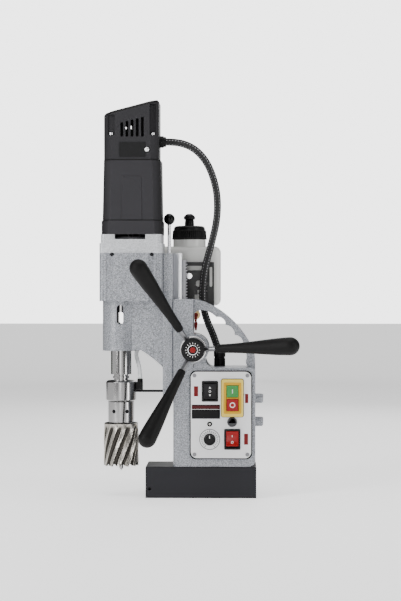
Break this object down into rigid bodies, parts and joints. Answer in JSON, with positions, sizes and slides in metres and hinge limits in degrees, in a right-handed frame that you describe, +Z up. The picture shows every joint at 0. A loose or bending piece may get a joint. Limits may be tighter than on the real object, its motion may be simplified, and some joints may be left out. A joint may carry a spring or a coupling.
{
  "type": "magnetic drill press",
  "caption": "Portable magnetic-base drill: electromagnet foot, cast stand with control panel and handle, geared motor on a rack-fed slide, annular cutter, capstan arms and coolant tank.",
  "frame": {"origin": "centre of the magnet's underside, on the pole face", "axes": "+Z up along the feed, X along the magnet with the spindle towards -X, control panel facing -Y"},
  "size_m": [0.3039, 0.26, 0.6112],
  "materials": {
    "magnet_paint": "satin blue-black paint",
    "epoxy": "potting resin",
    "hammertone": "silver-grey hammertone",
    "silver_paint": "light silver paint",
    "machined_steel": "ground steel",
    "black_oxide": "black oxide",
    "bright_screw": "zinc plated",
    "brass": "brass",
    "laminations": "lacquered sheet steel and copper",
    "spring_steel": "spring wire",
    "cutter_steel": "high speed steel",
    "motor_plastic": "textured dark grey",
    "black_plastic": "black",
    "grey_plastic": "grey",
    "gasket_rubber": "black rubber",
    "panel_plate": "light grey face plate",
    "yellow_plastic": "yellow",
    "green_plastic": "green",
    "red_plastic": "red",
    "lamp": "dark lens",
    "board": "green laminate",
    "tank_plastic": "translucent white",
    "nozzle_plastic": "black",
    "sleeve": "black braided sleeve",
    "clear_hose": "clear tube",
    "valve_metal": "dull brass"
  },
  "bodies": {
    "stand": {"magnet_housing": "magnet_paint", "magnet_coil": "epoxy", "stand_casting": "hammertone", "stand_screws": "black_oxide", "gib_strip": "brass", "feed_bushes": "brass", "bearing_flange": "machined_steel", "panel_gasket": "gasket_rubber", "control_panel": "panel_plate", "panel_screws": "bright_screw", "rocker_frames": "black_plastic", "start_stop_box": "yellow_plastic", "fuse_holder": "black_plastic", "indicator_lamp": "lamp", "potentiometer": "black_plastic", "circuit_board": "board", "stand_gland": "black_plastic", "mains_gland": "black_plastic", "power_conduit": "sleeve", "coolant_hose": "clear_hose", "coolant_tank": "tank_plastic", "tank_bracket": "black_oxide", "coolant_valve": "valve_metal"},
    "carriage": {"gearbox_casting": "hammertone", "dovetail_slide": "machined_steel", "feed_rack": "machined_steel", "gearbox_cover": "silver_paint", "motor_housing": "motor_plastic", "motor_end_cap": "motor_plastic", "carriage_screws": "bright_screw", "stator": "laminations", "brush_holders": "brass", "ball_bearings": "bright_screw", "motor_gland": "black_plastic", "coolant_ring": "machined_steel", "coolant_elbow": "black_plastic", "ring_stop_rod": "machined_steel"},
    "spindle": {"spindle": "machined_steel", "arbor": "machined_steel", "grub_screws": "black_oxide", "annular_cutter": "cutter_steel", "pilot_spring": "spring_steel"},
    "pilot": {"pilot_pin": "machined_steel"},
    "armature": {"armature": "machined_steel", "cooling_fan": "motor_plastic"},
    "layshaft": {"layshaft": "machined_steel"},
    "lock": {"lock_lever": "machined_steel"},
    "capstan": {"feed_shaft": "machined_steel", "capstan_hub": "black_plastic", "arm_rods": "machined_steel", "arm_grips": "black_plastic"},
    "feed_switch": {"feed_rocker": "black_plastic"},
    "magnet_switch": {"magnet_rocker": "red_plastic"},
    "start": {"start_button": "green_plastic"},
    "stop": {"stop_button": "red_plastic"},
    "dial": {"speed_knob": "black_plastic"},
    "fuse": {"fuse_cap": "grey_plastic"},
    "bottle_cap": {"tank_cap": "black_plastic"},
    "nozzle": {"tank_nozzle": "nozzle_plastic"},
    "tap": {"valve_lever": "red_plastic"}
  },
  "joints": [
    {"name": "carriage_slide", "type": "slide", "parent": "stand", "child": "carriage", "axis": [0, 0, 1], "range_m": [-0.105, 0.05], "deforming": ["power_conduit", "coolant_hose"]},
    {"name": "spindle_turn", "type": "hinge", "parent": "carriage", "child": "spindle", "pos_m": [-0.125, 0, 0.2], "axis": [0, 0, 1], "continuous": true},
    {"name": "armature_turn", "type": "hinge", "parent": "carriage", "child": "armature", "pos_m": [-0.107, 0, 0.45], "axis": [0, 0, 1], "continuous": true},
    {"name": "layshaft_turn", "type": "hinge", "parent": "carriage", "child": "layshaft", "pos_m": [-0.1096, 0.02144, 0.35], "axis": [0, 0, 1], "continuous": true},
    {"name": "pilot_press", "type": "slide", "parent": "spindle", "child": "pilot", "axis": [0, 0, 1], "range_m": [0, 0.045], "stiffness_N_per_m": 120, "springref_m": -0.03, "deforming": ["pilot_spring"]},
    {"name": "lock_pull", "type": "slide", "parent": "carriage", "child": "lock", "axis": [0, 0, 1], "range_m": [0, 0.008], "stiffness_N_per_m": 1500, "springref_m": -0.004},
    {"name": "feed_shaft_turn", "type": "hinge", "parent": "stand", "child": "capstan", "pos_m": [-0.011, -0.06, 0.229], "axis": [0, 1, 0], "range_deg": [-502, 240]},
    {"name": "feed_rocker_tilt", "type": "hinge", "parent": "stand", "child": "feed_switch", "pos_m": [0.014, -0.04, 0.1641], "axis": [1, 0, 0], "range_deg": [-8, 8]},
    {"name": "magnet_rocker_tilt", "type": "hinge", "parent": "stand", "child": "magnet_switch", "pos_m": [0.0482, -0.04, 0.0906], "axis": [1, 0, 0], "range_deg": [0, 16]},
    {"name": "start_press", "type": "slide", "parent": "stand", "child": "start", "axis": [0, 1, 0], "range_m": [0, 0.0025], "stiffness_N_per_m": 600, "springref_m": -0.001},
    {"name": "stop_press", "type": "slide", "parent": "stand", "child": "stop", "axis": [0, 1, 0], "range_m": [0, 0.0025], "stiffness_N_per_m": 600, "springref_m": -0.001},
    {"name": "dial_turn", "type": "hinge", "parent": "stand", "child": "dial", "pos_m": [0.0136, -0.05, 0.0903], "axis": [0, -1, 0], "range_deg": [-135, 135]},
    {"name": "fuse_cap_turn", "type": "hinge", "parent": "stand", "child": "fuse", "pos_m": [0.048, -0.048, 0.117], "axis": [0, -1, 0], "range_deg": [0, 90]},
    {"name": "tank_cap_lift", "type": "slide", "parent": "stand", "child": "bottle_cap", "axis": [0, 0, 1], "range_m": [0, 0.04]},
    {"name": "nozzle_pull", "type": "slide", "parent": "bottle_cap", "child": "nozzle", "axis": [0, 0, 1], "range_m": [0, 0.006]},
    {"name": "tap_turn", "type": "hinge", "parent": "stand", "child": "tap", "pos_m": [-0.01, 0.054, 0.279], "axis": [0, 1, 0], "range_deg": [-90, 0]}
  ],
  "couplings": [
    {"joint": "feed_shaft_turn", "follows": "carriage_slide", "rad_per_m": 83.333},
    {"joint": "layshaft_turn", "follows": "spindle_turn", "ratio": -3},
    {"joint": "armature_turn", "follows": "spindle_turn", "ratio": 9}
  ]
}
